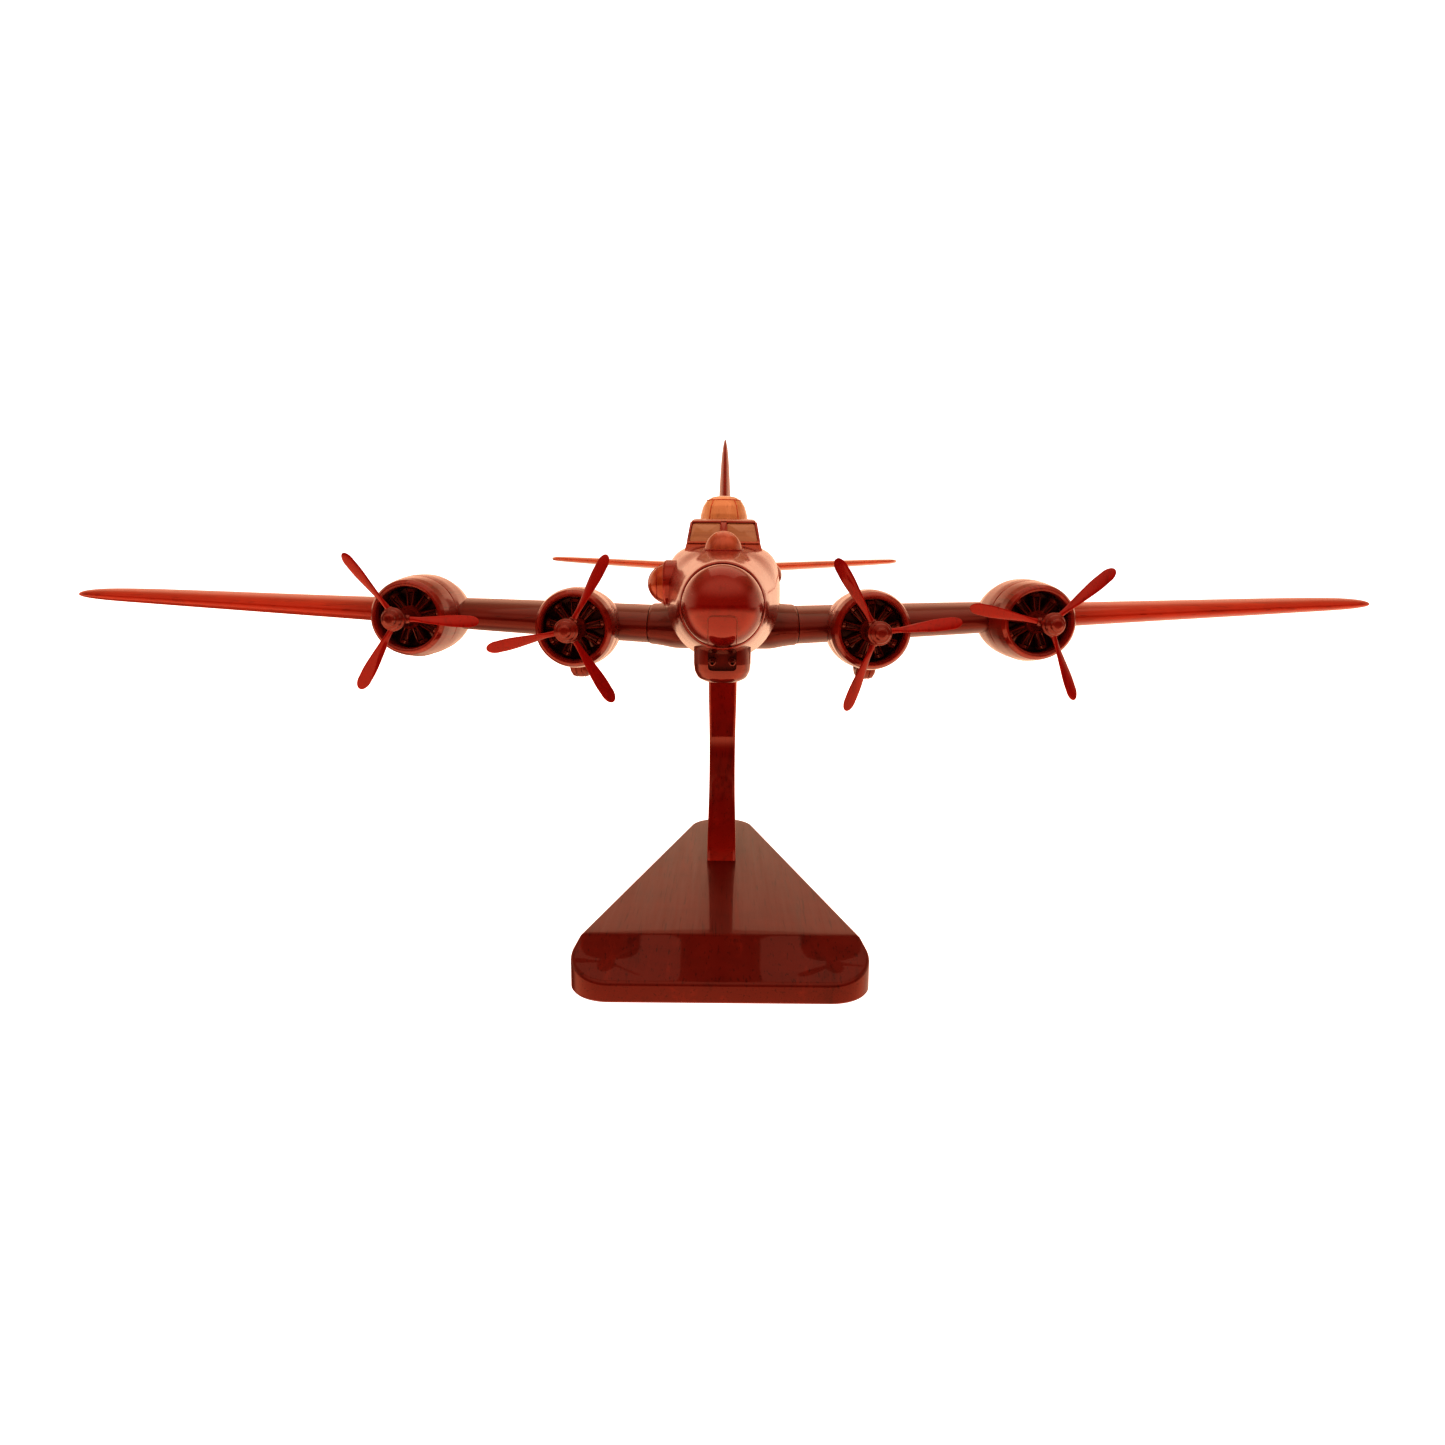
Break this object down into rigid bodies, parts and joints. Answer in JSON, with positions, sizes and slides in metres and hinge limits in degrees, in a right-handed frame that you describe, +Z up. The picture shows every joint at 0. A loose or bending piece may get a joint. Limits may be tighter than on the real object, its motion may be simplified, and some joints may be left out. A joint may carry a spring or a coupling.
{
  "type": "desk model aircraft",
  "caption": "Lacquered wooden desk model of a four-engined aircraft with free-spinning three-bladed propellers, lifting off a curved arm on a triangular base.",
  "frame": {"origin": "centre of the bounding box's underside, on the table", "axes": "+Z up, nose of the aircraft towards -Y, wings along X; the viewer in front sees +X on the right"},
  "size_m": [0.516, 0.364, 0.203],
  "materials": {
    "lacquered_body": "dark red-brown mahogany under a thick high-gloss lacquer",
    "lacquered_wing": "orange-red mahogany, high-gloss lacquer, grain along the span",
    "lacquered_base": "brown-red mahogany, high-gloss lacquer",
    "lacquered_arm": "deep red-brown mahogany, high-gloss lacquer",
    "bare_dowel": "bare turned dowel",
    "nose_glaze": "polished red dome, mirror-like lacquer",
    "amber_dome": "pale amber wood, high-gloss lacquer",
    "window_inlay": "tan wood inlay under lacquer",
    "propeller_red": "vivid red-stained wood, semi-gloss lacquer",
    "dark_engine": "near-black stained wood, semi-gloss",
    "wheel_wood": "brown stained wood, satin",
    "black_metal": "black stained wood pin, satin"
  },
  "bodies": {
    "stand": {"base_plinth": "lacquered_base", "stand_arm": "lacquered_arm", "stand_peg": "bare_dowel"},
    "aircraft": {"fuselage": "lacquered_body", "nose_dome": "nose_glaze", "canopy": "lacquered_body", "windshield_left": "window_inlay", "side_window_left": "window_inlay", "chin_barrel_left": "black_metal", "wing_left": "lacquered_wing", "wing_root_left": "lacquered_body", "wheel_left": "wheel_wood", "tailplane_left": "lacquered_wing", "windshield_right": "window_inlay", "side_window_right": "window_inlay", "chin_barrel_right": "black_metal", "wing_right": "lacquered_wing", "wing_root_right": "lacquered_body", "wheel_right": "wheel_wood", "tailplane_right": "lacquered_wing", "astrodome": "amber_dome", "top_turret_ring": "lacquered_body", "top_turret_dome": "amber_dome", "chin_turret": "lacquered_body", "cheek_blister_left": "amber_dome", "cheek_frame_left": "lacquered_body", "cheek_blister_right": "amber_dome", "nacelle_1": "lacquered_body", "cowl_1": "lacquered_body", "engine_1": "dark_engine", "nacelle_2": "lacquered_body", "cowl_2": "lacquered_body", "engine_2": "dark_engine", "nacelle_3": "lacquered_body", "cowl_3": "lacquered_body", "engine_3": "dark_engine", "nacelle_4": "lacquered_body", "cowl_4": "lacquered_body", "engine_4": "dark_engine", "fin": "lacquered_body"},
    "prop_1": {"propeller_1": "propeller_red", "hub_cap_1": "propeller_red"},
    "prop_2": {"propeller_2": "propeller_red", "hub_cap_2": "propeller_red"},
    "prop_3": {"propeller_3": "propeller_red", "hub_cap_3": "propeller_red"},
    "prop_4": {"propeller_4": "propeller_red", "hub_cap_4": "propeller_red"}
  },
  "joints": [
    {"name": "aircraft_lift_off", "type": "slide", "parent": "stand", "child": "aircraft", "axis": [0, 0, 1], "range_m": [0, 0.03]},
    {"name": "propeller_1_spin", "type": "hinge", "parent": "aircraft", "child": "prop_1", "pos_m": [-0.1135, -0.0908, 0.1061], "axis": [0, 1, 0], "continuous": true},
    {"name": "propeller_2_spin", "type": "hinge", "parent": "aircraft", "child": "prop_2", "pos_m": [-0.0522, -0.1014, 0.1032], "axis": [0, 1, 0], "continuous": true},
    {"name": "propeller_3_spin", "type": "hinge", "parent": "aircraft", "child": "prop_3", "pos_m": [0.0522, -0.1014, 0.1032], "axis": [0, 1, 0], "continuous": true},
    {"name": "propeller_4_spin", "type": "hinge", "parent": "aircraft", "child": "prop_4", "pos_m": [0.1135, -0.0908, 0.1061], "axis": [0, 1, 0], "continuous": true}
  ]
}
